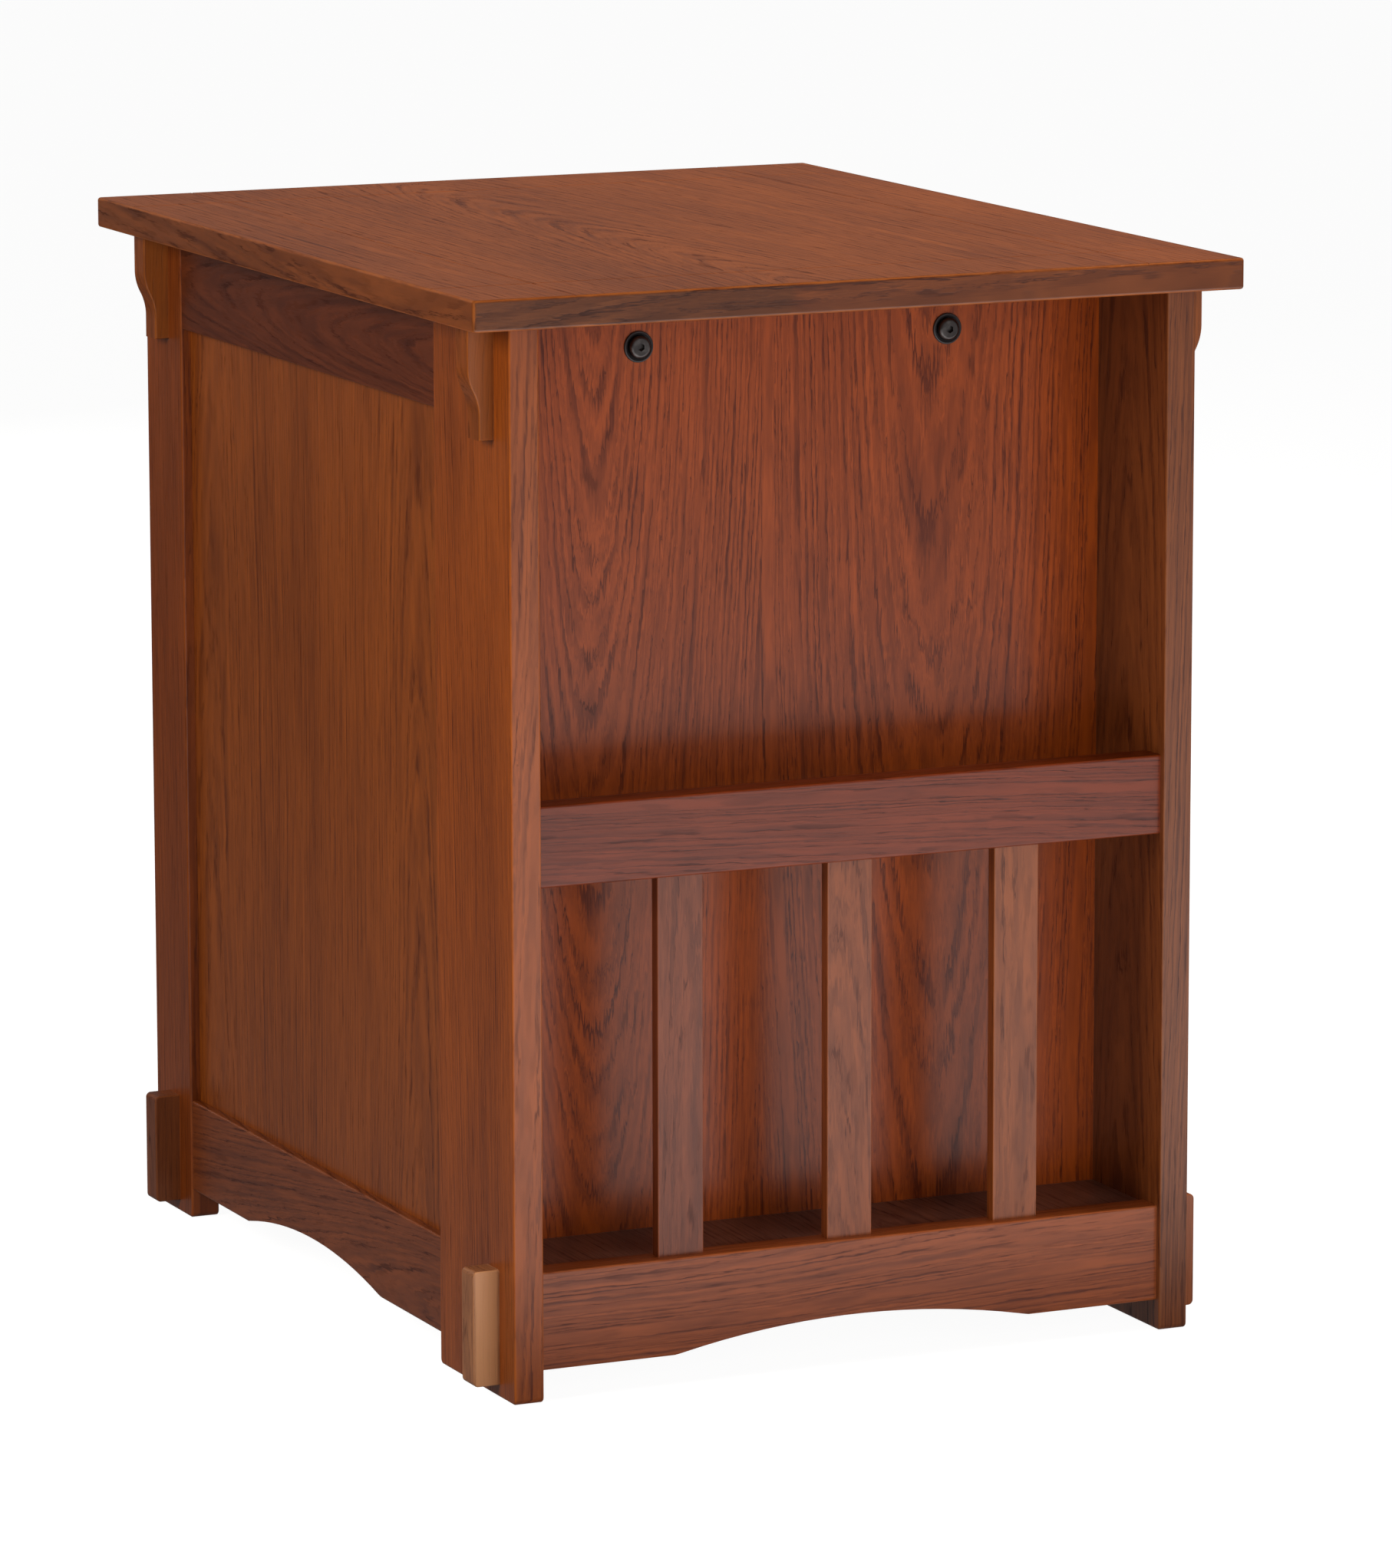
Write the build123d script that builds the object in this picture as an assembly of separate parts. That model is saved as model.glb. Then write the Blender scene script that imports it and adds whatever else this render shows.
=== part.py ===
"""Mission oak side cabinet with a slatted book rack across its back end.

Frame: rack end -Y, drawer and door end +Y, +Z up. The origin is on the floor, under the middle of the top.
Sizes are in millimetres. Each function below makes one piece, or a group of like pieces, as separate solids.
"""
from build123d import *
import os

# ---- overall sizes ---------------------------------------------------------------------------------------
overall_height = 610.0
top_width = 465.0            # across the sides
top_depth = 571.0            # rack end to front
top_thick = 17.5
side_overhang = 25.0
rack_overhang = 10.5
front_overhang = 14.5
edge_ease = 1.3              # small round on every board's long edges
hair = 0.01                  # for picking edges at a known place
top_ease = 1.7
top_corner = 2.5
score_inset = 60.0           # lines scored in the top, from each edge
score_depth = 0.7

# ---- side frames -----------------------------------------------------------------------------------------
leg_thick = 17.5
rack_leg_width = 105.0
front_leg_width = 56.5
leg_foot_round = 3.0
rail_recess = 1.0            # rails lie this far behind the legs' outer faces
upper_rail_height = 55.0
lower_rail_height = 55.0
lower_rail_clear = 17.0      # floor to the flat ends of the lower rails
side_arch_span = 209.0
arch_rise = 12.0
panel_recess = 6.3
panel_thick = 6.0
groove_depth = 8.0
groove_clear = 0.1           # each side of a tongue in its groove
tongue_short = 0.3           # a tongue stops this far from the groove's floor

# ---- corbels and foot blocks -----------------------------------------------------------------------------
block_inset = 21.0           # from the leg's outer edge
block_thick = 16.5
block_ease = 0.9
corbel_height = 62.5
corbel_top_out = 15.2
corbel_foot_out = 8.5
corbel_straight = 22.5       # plain upper stretch
corbel_toe = 13.0            # plain lower stretch
foot_block_out = 15.5
foot_block_bottom = 7.0
foot_block_top = 72.0
foot_block_round = 3.0

# ---- rack ------------------------------------------------------------------------------------------------
rail_setback = 4.2           # cross rails lie this far inside the legs' outer edges
cross_rail_thick = 18.0
rack_upper_rail_height = 45.0
rack_upper_rail_top = 331.0
rack_arch_span = 220.0
slat_count = 3
slat_width = 27.5
slat_thick = 8.0
slat_pitch = 103.0
slat_setback = 6.0           # behind the rails' faces
slat_ease = 0.8
tenon_length = 8.0
tenon_shoulder = 2.0         # slat width lost on each side of its tenon
tenon_thick = 5.0
mortise_clear = 0.15

# ---- back and bottom -------------------------------------------------------------------------------------
back_thick = 8.0
back_inset = 14.0            # back panel's inner face to the rack legs' inner edges
stretcher_height = 47.5
stretcher_thick = 18.0
bottom_thick = 16.0
bottom_drop = 1.5            # bottom board below the lower rails' top edges
cleat_size = 18.0

# ---- back bolts ------------------------------------------------------------------------------------------
bolt_pitch = 189.0
bolt_below_top = 25.0        # below the underside of the top board
cup_flange_diameter = 17.5
cup_flange_thick = 1.2
cup_flange_round = 0.7
cup_body_diameter = 14.6
cup_depth = 0.8
cup_wall = 0.9
cup_floor = 1.2
cup_mouth_diameter = 15.8    # the flange is dished from here down to the well
cup_clear = 0.1
bolt_shank_diameter = 6.0
bolt_length = 30.0
bolt_head_diameter = 12.4
bolt_head_height = 4.8
bolt_head_round = 1.6
bolt_socket_across = 4.0
bolt_socket_depth = 2.0
bolt_hole_clear = 0.3

# ---- front rails, drawer and door ------------------------------------------------------------------------
front_rail_height = 20.0
front_rail_depth = 60.0
drawer_opening_height = 102.0
front_gap = 1.5              # gap round the drawer front and the door
front_thick = 17.5           # drawer front and door frame
drawer_length = 400.0        # drawer box behind its front
drawer_side_thick = 12.0
drawer_side_drop = 13.5      # drawer sides stop this far below the opening's top
drawer_bottom_thick = 5.0
drawer_bottom_up = 8.0       # up from the lower edges of the sides
drawer_groove = 5.0
drawer_side_play = 0.6       # between the drawer and its guides
drawer_lift = 0.5            # drawer sides above the runners
stop_thick = 10.0
stop_width = 40.0
stop_on_back = 20.0          # how far the stop reaches down the drawer's back
runner_width = 20.0
guide_thick = 3.2
guide_height = 12.0
door_stile_width = 50.0
door_rail_height = 50.0
door_panel_recess = 6.0

# ---- knobs -----------------------------------------------------------------------------------------------
knob_size = 30.0
knob_neck_diameter = 15.0
knob_neck_length = 8.0
knob_edge_thick = 5.0
knob_cap_height = 5.0
knob_cap_size = 8.0
knob_ease = 1.0
knob_screw_diameter = 4.0
knob_screw_head = 8.0
knob_screw_head_height = 2.6
knob_screw_head_round = 1.0
knob_screw_in_knob = 10.0
screw_clear = 0.15
door_knob_down = 62.0        # below the door's top edge

# ---- hinges and catch ------------------------------------------------------------------------------------
hinge_length = 50.0
hinge_from_end = 45.0
hinge_leaf_width = 24.0
hinge_leaf_thick = 1.2
hinge_leaf_clear = 0.2       # round each leaf in its mortise
hinge_barrel_radius = 3.0
hinge_pin_radius = 1.5
hinge_bore_clear = 0.15
hinge_knuckle_gap = 0.5
hinge_barrel_clear = 0.4
hinge_pin_cap = 0.8
hinge_pin_cap_radius = 1.9
catch_width = 44.0
catch_height = 13.0
catch_depth = 15.0
catch_from_side = 40.0
catch_gap = 0.5
catch_round = 1.5
strike_width = 34.0
strike_height = 10.0
strike_thick = 1.0
strike_from_top = 0.5        # below the door's top edge

# ---- shelf, dowels and screws ----------------------------------------------------------------------------
shelf_height = 258.0         # underside, from the floor
shelf_thick = 15.0
shelf_side_gap = 1.0
shelf_front_gap = 25.0       # shelf to the back of the door
shelf_pin_diameter = 5.0
shelf_pin_in = 9.0
shelf_pin_out = 9.0
shelf_pin_from_rear = 3.0    # from the back panel's inner face
shelf_pin_from_front = 12.0  # from the front leg's inner edge
shelf_hole_pitch = 32.0
pin_clear = 0.1
dowel_diameter = 8.0
dowel_in_leg = 11.0
dowel_in_rail = 22.0
dowel_clear = 0.1
dowel_edge = 13.0            # from a rail's edge to its dowel
top_screw_diameter = 4.0
top_screw_head = 8.0
top_screw_head_height = 3.0
top_screw_length = 30.0
top_screw_from_end = 45.0

# ---- worked out from the sizes above ---------------------------------------------------------------------
RACK, FRONT = -1, 1
LEFT, RIGHT = -1, 1
SIDES = ((LEFT, "left"), (RIGHT, "right"))
ENDS = ((RACK, "rack"), (FRONT, "front"))
top_under = overall_height - top_thick
side_out = top_width / 2 - side_overhang             # legs' outer faces
side_in = side_out - leg_thick                       # legs' inner faces
edge_y = {RACK: -top_depth / 2 + rack_overhang, FRONT: top_depth / 2 - front_overhang}
leg_width = {RACK: rack_leg_width, FRONT: front_leg_width}
leg_inner_y = {end: edge_y[end] - end * leg_width[end] for end in (RACK, FRONT)}
face_y = {end: edge_y[end] - end * rail_setback for end in (RACK, FRONT)}
lower_rail_top = lower_rail_clear + lower_rail_height
upper_rail_bottom = top_under - upper_rail_height
back_inner_y = leg_inner_y[RACK] - back_inset
back_y = back_inner_y - back_thick                   # back panel's outer face
stretcher_y = back_inner_y + stretcher_thick
bottom_top = lower_rail_top - bottom_drop
rack_upper_rail_bottom = rack_upper_rail_top - rack_upper_rail_height
bolt_z = top_under - bolt_below_top
bolt_sites = [(side * bolt_pitch / 2, bolt_z) for side in (LEFT, RIGHT)]
drawer_opening_top = top_under - front_rail_height
drawer_opening_bottom = drawer_opening_top - drawer_opening_height
door_opening_top = drawer_opening_bottom - front_rail_height
door_x = side_in - front_gap
door_bottom = lower_rail_top + front_gap
door_top = door_opening_top - front_gap
front_back_y = face_y[FRONT] - front_thick           # back of the drawer front and of the door
front_rail_back_y = face_y[FRONT] - front_rail_depth
guide_x = side_in - guide_thick
drawer_out = guide_x - drawer_side_play
drawer_in = drawer_out - drawer_side_thick
drawer_low = drawer_opening_bottom + drawer_lift
drawer_high = drawer_opening_top - drawer_side_drop
drawer_rear_y = front_back_y - drawer_length
drawer_bottom_top = drawer_low + drawer_bottom_up + drawer_bottom_thick
hinge_y = edge_y[FRONT]
hinge_x = side_in + hinge_leaf_thick - hinge_barrel_radius - hinge_barrel_clear
hinge_starts = (door_bottom + hinge_from_end, door_top - hinge_from_end - hinge_length)
knuckle_length = (hinge_length - 2 * hinge_knuckle_gap) / 3
slat_front_y = face_y[RACK] + slat_setback
slat_mid_y = slat_front_y + slat_thick / 2
slat_centres = [slat_pitch * (n - (slat_count - 1) / 2) for n in range(slat_count)]
shelf_pin_y = (back_inner_y + shelf_pin_from_rear, leg_inner_y[FRONT] + shelf_pin_from_front)
shelf_pin_z = shelf_height - shelf_pin_diameter / 2
top_screw_y = (stretcher_y + top_screw_from_end, front_rail_back_y - top_screw_from_end)


# ---- plain shapes ----------------------------------------------------------------------------------------
def block(x, y, z):
    """A box between pairs of limits, given in any order."""
    spans = [(min(pair), max(pair)) for pair in (x, y, z)]
    sizes = [high - low for low, high in spans]
    middle = [(low + high) / 2 for low, high in spans]
    return Pos(*middle) * Box(*sizes)


def rod(centre, axis, radius, length):
    """A round bar that starts at centre and runs along +axis, or backwards when its length is negative."""
    turn = {"x": Rot(0, 90, 0), "y": Rot(-90, 0, 0), "z": Rot(0, 0, 0)}[axis]
    bar = Cylinder(radius, abs(length), align=(Align.CENTER, Align.CENTER, Align.MIN))
    if length < 0:
        bar = Pos(0, 0, length) * bar
    return Pos(*centre) * turn * bar


def ease_along(piece, axis, radius=edge_ease):
    """Round the long edges of a board."""
    return fillet(piece.edges().filter_by(axis), radius)


def arch_cut(span, rise, low_z):
    """The shape below an arched rail's lower edge, drawn in the XZ plane and centred on x = 0."""
    half = span / 2
    foot = low_z - rise
    outline = Polyline((half, low_z), (half, foot), (-half, foot), (-half, low_z))
    crown = ThreePointArc((-half, low_z), (0, low_z + rise), (half, low_z))
    face = make_face([*(Plane.XZ * outline).edges(), Plane.XZ * crown])
    return extrude(face, amount=leg_thick * 4, both=True)


# ---- where things are joined -----------------------------------------------------------------------------
def dowel_spots(end):
    """Centres (y, z) of the dowels between the cross rails and the legs at one end."""
    thick_mid = face_y[end] - end * cross_rail_thick / 2
    spots = [(thick_mid, lower_rail_clear + dowel_edge), (thick_mid, lower_rail_top - dowel_edge)]
    if end == RACK:
        heights = (rack_upper_rail_bottom + dowel_edge, rack_upper_rail_top - dowel_edge)
        spots += [(thick_mid, height) for height in heights]
        return spots
    for low in (drawer_opening_top, door_opening_top):
        mid_z = low + front_rail_height / 2
        spots += [(face_y[end] - dowel_edge, mid_z), (leg_inner_y[end] + dowel_edge, mid_z)]
    return spots


def dowel_holes(piece, end):
    """Cut the dowel holes that this piece shares with its neighbours."""
    radius = dowel_diameter / 2 + dowel_clear
    for side, _ in SIDES:
        for y, z in dowel_spots(end):
            start = side * (side_in + dowel_in_leg + dowel_clear)
            length = dowel_in_leg + dowel_in_rail + 2 * dowel_clear
            piece -= rod((start, y, z), "x", radius, -side * length)
    return piece


def hinge_mortise(piece, x_pair):
    """Cut the two shallow recesses that take hinge leaves."""
    for start in hinge_starts:
        y_pair = (hinge_y - hinge_leaf_width - hinge_leaf_clear, hinge_y + hinge_barrel_radius)
        z_pair = (start - hinge_leaf_clear, start + hinge_length + hinge_leaf_clear)
        piece -= block(x_pair, y_pair, z_pair)
    return piece


# ---- top -------------------------------------------------------------------------------------------------
def top_board():
    """Flat top with rounded arrises and four scored lines that cross near its corners."""
    x_pair = (-top_width / 2, top_width / 2)
    board = block(x_pair, (-top_depth / 2, top_depth / 2), (top_under, overall_height))
    board = ease_along(board, Axis.Z, top_corner)
    rim = board.edges().filter_by_position(Axis.Z, overall_height - hair, overall_height + hair)
    rim += board.edges().filter_by_position(Axis.Z, top_under - hair, top_under + hair)
    board = fillet(rim, top_ease)
    bar = score_depth * 2 ** 0.5
    for side in (-1, 1):
        line_x = side * (top_width / 2 - score_inset)
        line_y = side * (top_depth / 2 - score_inset)
        board -= Pos(line_x, 0, overall_height) * Rot(0, 45, 0) * Box(bar, top_depth * 2, bar)
        board -= Pos(0, line_y, overall_height) * Rot(45, 0, 0) * Box(top_width * 2, bar, bar)
    bore = top_screw_diameter / 2 + screw_clear
    for x, y in top_screw_sites():
        board -= rod((x, y, top_under), "z", bore, screw_in_top() + screw_clear)
    return board


def top_screw_sites():
    """Places (x, y) of the screws that come up through the kickers."""
    x = side_in - runner_width / 2
    return [(side * x, y) for side, _ in SIDES for y in top_screw_y]


def screw_in_top():
    """How far a screw goes into the top board."""
    return top_screw_length - (front_rail_height - top_screw_head_height)


# ---- side frames -----------------------------------------------------------------------------------------
def panel_x():
    """Outer and inner faces of a side panel, as distances from the middle."""
    return (side_out - panel_recess, side_out - panel_recess - panel_thick)


def leg(side, end):
    """Flat leg, grooved along its inner edge for the rails' tongues and the panel."""
    outer, inner = edge_y[end], leg_inner_y[end]
    post = block((side * side_in, side * side_out), (outer, inner), (0, top_under))
    feet = post.edges().filter_by(Axis.X).group_by(Axis.Z)[0]
    post = fillet(feet, leg_foot_round)
    post = ease_along(post, Axis.Z)
    high, low = panel_x()
    groove_x = (side * (high + groove_clear), side * (low - groove_clear))
    post -= block(groove_x, (inner, inner + end * groove_depth), (lower_rail_clear, overall_height))
    post = dowel_holes(post, end)
    if end == FRONT and side == LEFT:
        post = hinge_mortise(post, (-side_in, -side_in - hinge_leaf_thick))
    y = shelf_pin_y[0] if end == RACK else shelf_pin_y[1]
    for step in (-1, 0, 1):
        z = shelf_pin_z + step * shelf_hole_pitch
        hole = shelf_pin_in + pin_clear
        post -= rod((side * side_in, y, z), "x", shelf_pin_diameter / 2 + pin_clear, side * hole)
    return post


def side_tongue(side, z):
    """Tongue through a side rail's whole length, into the grooves of both legs."""
    high, low = panel_x()
    reach = groove_depth - tongue_short
    return block((side * high, side * low), (leg_inner_y[RACK] - reach, leg_inner_y[FRONT] + reach), z)


def side_rail(side, low, high, arched):
    """Rail between two legs, a little behind their outer faces."""
    face = side_out - rail_recess
    rail = block((side * side_in, side * face), (leg_inner_y[RACK], leg_inner_y[FRONT]), (low, high))
    rail = ease_along(rail, Axis.Y)
    rail += side_tongue(side, (low + edge_ease, high - edge_ease))
    outer, inner = panel_x()
    groove_z = (high - groove_depth, high) if arched else (low, low + groove_depth)
    groove_y = (edge_y[RACK], edge_y[FRONT])
    rail -= block((side * (outer + groove_clear), side * (inner - groove_clear)), groove_y, groove_z)
    if arched:
        middle = (leg_inner_y[RACK] + leg_inner_y[FRONT]) / 2
        rail -= Pos(side * side_out, middle, 0) * Rot(0, 0, 90) * arch_cut(side_arch_span, arch_rise, low)
    return rail


def side_panel(side):
    """Flat oak panel, let into the grooves of its frame."""
    reach = groove_depth - tongue_short
    outer, inner = panel_x()
    y_pair = (leg_inner_y[RACK] - reach, leg_inner_y[FRONT] + reach)
    return block((side * outer, side * inner), y_pair, (lower_rail_top - reach, upper_rail_bottom + reach))


def block_y(end):
    """The stretch that a corbel or a foot block covers along its leg."""
    near = edge_y[end] - end * block_inset
    return (near, near - end * block_thick)


def corbel(side, end):
    """Bracket under the top's overhang: straight above, then a reverse curve in to a square toe."""
    bottom = top_under - corbel_height
    curve_top = top_under - corbel_straight
    curve_foot = bottom + corbel_toe
    mid = ((corbel_top_out + corbel_foot_out) / 2, (curve_top + curve_foot) / 2)
    drop = curve_top - mid[1]
    swing = corbel_top_out - mid[0]
    radius = (drop ** 2 + swing ** 2) / (2 * swing)
    lines = Polyline((corbel_foot_out, curve_foot), (corbel_foot_out, bottom), (0, bottom), (0, top_under),
                     (corbel_top_out, top_under), (corbel_top_out, curve_top))
    upper = RadiusArc((corbel_top_out, curve_top), mid, radius)
    lower = RadiusArc(mid, (corbel_foot_out, curve_foot), -radius)
    face = make_face([*(Plane.XZ * lines).edges(), Plane.XZ * upper, Plane.XZ * lower])
    piece = extrude(face, amount=block_thick / 2, both=True)
    free = [edge for edge in piece.edges() if edge.center().X > 1 and edge.center().Z < top_under - 1
            and abs(abs(edge.center().Y) - block_thick / 2) < hair]
    piece = fillet(free, block_ease)
    if side == LEFT:
        piece = Rot(0, 0, 180) * piece
    return Pos(side * side_out, sum(block_y(end)) / 2, 0) * piece


def foot_block(side, end):
    """Small block on a leg's foot, with rounded outer edges."""
    piece = block((0, side * foot_block_out), block_y(end), (foot_block_bottom, foot_block_top))
    ends = [edge for edge in piece.edges().filter_by(Axis.Y) if abs(edge.center().X) > 1]
    piece = fillet(ends, foot_block_round)
    outline = [edge for edge in piece.edges() if abs(edge.center().X) > 0.5
               and abs(edge.center().Y - sum(block_y(end)) / 2) > block_thick / 2 - hair]
    piece = fillet(outline, block_ease)
    return Pos(side * side_out, 0, 0) * piece


# ---- cross rails and rack --------------------------------------------------------------------------------
def cross_rail(end, low, high, arched):
    """Upright rail between the legs at one end, arched below or plain."""
    rail = block((-side_in, side_in), (face_y[end], face_y[end] - end * cross_rail_thick), (low, high))
    rail = ease_along(rail, Axis.X)
    if arched:
        rail -= Pos(0, face_y[end], 0) * arch_cut(rack_arch_span, arch_rise, low)
    rail = dowel_holes(rail, end)
    if end == RACK:
        for x in slat_centres:
            rail -= slat_tenons(x, mortise_clear)
    return rail


def slat_tenons(x, clear):
    """The stub tenons of one slat, or the mortises that take them."""
    half = slat_width / 2 - tenon_shoulder + clear
    thick = tenon_thick / 2 + clear
    z_pair = (lower_rail_top - tenon_length - clear, rack_upper_rail_bottom + tenon_length + clear)
    return block((x - half, x + half), (slat_mid_y - thick, slat_mid_y + thick), z_pair)


def rack_slat(x):
    """Upright slat between the rack's two rails."""
    slat = block((x - slat_width / 2, x + slat_width / 2), (slat_front_y, slat_front_y + slat_thick),
                 (lower_rail_top, rack_upper_rail_bottom))
    return ease_along(slat, Axis.Z, slat_ease) + slat_tenons(x, 0)


def front_rail(low):
    """Rail laid flat across the front, above or below the drawer."""
    rail = block((-side_in, side_in), (front_rail_back_y, face_y[FRONT]), (low, low + front_rail_height))
    return dowel_holes(ease_along(rail, Axis.X), FRONT)


# ---- back and bottom -------------------------------------------------------------------------------------
def back_panel():
    """Board between the sides that closes the case behind the rack."""
    board = block((-side_in, side_in), (back_y, back_inner_y), (bottom_top, top_under))
    for x, z in bolt_sites:
        board -= rod((x, back_y, z), "y", cup_body_diameter / 2 + cup_clear, cup_depth + cup_floor)
        board -= rod((x, back_y, z), "y", (bolt_shank_diameter + bolt_hole_clear) / 2, back_thick)
    return board


def back_stretcher():
    """Rail behind the back panel that its two bolts screw into."""
    rail = block((-side_in, side_in), (back_inner_y, stretcher_y), (top_under - stretcher_height, top_under))
    for x, z in bolt_sites:
        rail -= rod((x, back_inner_y, z), "y", (bolt_shank_diameter + bolt_hole_clear) / 2, stretcher_thick)
    return rail


def bolt_cups():
    """Dished black plastic washers, one round each bolt head."""
    cups = []
    for x, z in bolt_sites:
        body_end = cup_depth + cup_floor
        cup = rod((x, back_y - cup_flange_thick, z), "y", cup_flange_diameter / 2, cup_flange_thick)
        cup = fillet(cup.edges().group_by(Axis.Y)[0], cup_flange_round)
        cup += rod((x, back_y, z), "y", cup_body_diameter / 2, body_end)
        well_radius = cup_body_diameter / 2 - cup_wall
        cup -= rod((x, back_y - cup_flange_thick, z), "y", well_radius, cup_flange_thick + cup_depth)
        dish = Cone(cup_mouth_diameter / 2, well_radius, cup_flange_thick,
                    align=(Align.CENTER, Align.CENTER, Align.MIN))
        cup -= Pos(x, back_y - cup_flange_thick, z) * Rot(-90, 0, 0) * dish
        cup -= rod((x, back_y, z), "y", (bolt_shank_diameter + bolt_hole_clear) / 2, body_end)
        cups.append(cup)
    return Compound(cups)


def back_bolts():
    """Round-headed bolts with a hexagon socket, standing proud of their washers."""
    bolts = []
    for x, z in bolt_sites:
        seat = back_y + cup_depth
        head = rod((x, seat - bolt_head_height, z), "y", bolt_head_diameter / 2, bolt_head_height)
        head = fillet(head.edges().group_by(Axis.Y)[0], bolt_head_round)
        socket_plane = Plane((x, seat - bolt_head_height, z), z_dir=(0, 1, 0))
        socket = extrude(socket_plane * RegularPolygon(bolt_socket_across / 2, 6, major_radius=False),
                         amount=bolt_socket_depth)
        shank = rod((x, seat, z), "y", bolt_shank_diameter / 2, bolt_length - bolt_head_height)
        bolts.append(head - socket + shank)
    return Compound(bolts)


def bottom_board():
    """One board that is the floor of the rack and of the cabinet."""
    y_pair = (face_y[RACK] + cross_rail_thick, face_y[FRONT] - cross_rail_thick)
    return block((-side_in, side_in), y_pair, (bottom_top - bottom_thick, bottom_top))


def bottom_cleats():
    """Strips on the sides that carry the bottom board."""
    high = bottom_top - bottom_thick
    y_pair = (face_y[RACK] + cross_rail_thick, face_y[FRONT] - cross_rail_thick)
    strips = [block((side * side_in, side * (side_in - cleat_size)), y_pair, (high - cleat_size, high))
              for side, _ in SIDES]
    return Compound(strips)


# ---- drawer ----------------------------------------------------------------------------------------------
def drawer_runners():
    """L-shaped runners: the drawer slides on the foot, between the upright guides."""
    runners = []
    for side, _ in SIDES:
        y_pair = (back_inner_y, front_rail_back_y)
        foot = block((side * side_in, side * (side_in - runner_width)), y_pair,
                     (door_opening_top, drawer_opening_bottom))
        guide = block((side * side_in, side * guide_x), y_pair,
                      (drawer_opening_bottom, drawer_opening_bottom + guide_height))
        runners.append(foot + guide)
    return Compound(runners)


def drawer_kickers():
    """Strips above the drawer sides, which stop it from tipping and hold the top's screws."""
    kickers = []
    bore = top_screw_diameter / 2 + screw_clear
    sink = top_screw_head / 2 + screw_clear
    for side, _ in SIDES:
        x_pair = (side * side_in, side * (side_in - runner_width))
        strip = block(x_pair, (stretcher_y, front_rail_back_y), (drawer_opening_top, top_under))
        for x, y in top_screw_sites():
            strip -= rod((x, y, drawer_opening_top), "z", bore, front_rail_height)
            strip -= rod((x, y, drawer_opening_top), "z", sink, top_screw_head_height)
        kickers.append(strip)
    return Compound(kickers)


def top_screws():
    """Screws through the kickers into the top board."""
    screws = []
    for x, y in top_screw_sites():
        head = rod((x, y, drawer_opening_top), "z", top_screw_head / 2, top_screw_head_height)
        start = (x, y, drawer_opening_top + top_screw_head_height)
        shank = rod(start, "z", top_screw_diameter / 2, top_screw_length - top_screw_head_height)
        screws.append(head + shank)
    return Compound(screws)


def drawer_knob_centre():
    """Middle of the drawer front's face."""
    return (0, face_y[FRONT], (drawer_opening_bottom + drawer_opening_top) / 2)


def door_knob_centre():
    """On the door's free stile, near its top."""
    return (door_x - door_stile_width / 2, face_y[FRONT], door_top - door_knob_down)


def screw_hole(centre):
    """Clearance hole for a knob's screw through a front."""
    x, y, z = centre
    return rod((x, y, z), "y", knob_screw_diameter / 2 + screw_clear, -front_thick)


def drawer_front():
    """Front board, inset between the legs."""
    front = block((-door_x, door_x), (front_back_y, face_y[FRONT]),
                  (drawer_opening_bottom + front_gap, drawer_opening_top - front_gap))
    front = fillet(front.edges().group_by(Axis.Y)[-1], edge_ease)
    front -= drawer_bottom_space(drawer_groove)
    return front - screw_hole(drawer_knob_centre())


def drawer_bottom_space(into_front):
    """The space that the drawer's bottom takes, a groove deep in the sides and the front."""
    half = drawer_in + drawer_groove
    low = drawer_low + drawer_bottom_up
    y_pair = (drawer_rear_y, front_back_y + into_front)
    return block((-half, half), y_pair, (low, low + drawer_bottom_thick))


def drawer_side(side):
    """Side of the drawer box, grooved for the bottom."""
    x_pair = (side * drawer_out, side * drawer_in)
    board = block(x_pair, (drawer_rear_y, front_back_y), (drawer_low, drawer_high))
    return board - drawer_bottom_space(0)


def drawer_bottom():
    """Thin bottom, held in the grooves and under the back."""
    half = drawer_in + drawer_groove - tongue_short
    low = drawer_low + drawer_bottom_up
    y_pair = (drawer_rear_y, front_back_y + drawer_groove - tongue_short)
    return block((-half, half), y_pair, (low, low + drawer_bottom_thick))


def drawer_back():
    """Back of the drawer box, standing on its bottom."""
    return block((-drawer_in, drawer_in), (drawer_rear_y, drawer_rear_y + drawer_side_thick),
                 (drawer_bottom_top, drawer_high))


def drawer_stop():
    """Block on the drawer's back that meets the front top rail when the drawer is fully out."""
    rear = drawer_rear_y + drawer_side_thick
    half = stop_width / 2
    low = drawer_high - stop_on_back
    high = drawer_opening_top + front_rail_height / 2
    return block((-half, half), (rear, rear + stop_thick), (low, high))


def knob(centre):
    """Square wooden knob with a low pyramid face, on a round neck."""
    x, y, z = centre
    neck = rod((x, y, z), "y", knob_neck_diameter / 2, knob_neck_length)
    base_y = y + knob_neck_length
    half = knob_size / 2
    plate = block((x - half, x + half), (base_y, base_y + knob_edge_thick), (z - half, z + half))
    rise = Plane((x, base_y + knob_edge_thick, z), z_dir=(0, 1, 0))
    tip = Plane((x, base_y + knob_edge_thick + knob_cap_height, z), z_dir=(0, 1, 0))
    cap = loft([rise * Rectangle(knob_size, knob_size), tip * Rectangle(knob_cap_size, knob_cap_size)])
    head = plate + cap
    corners = head.edges().filter_by(Axis.Y)
    head = fillet(corners, knob_ease)
    hole = rod((x, y, z), "y", knob_screw_diameter / 2 + screw_clear, knob_screw_in_knob + screw_clear)
    return neck + head - hole


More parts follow.
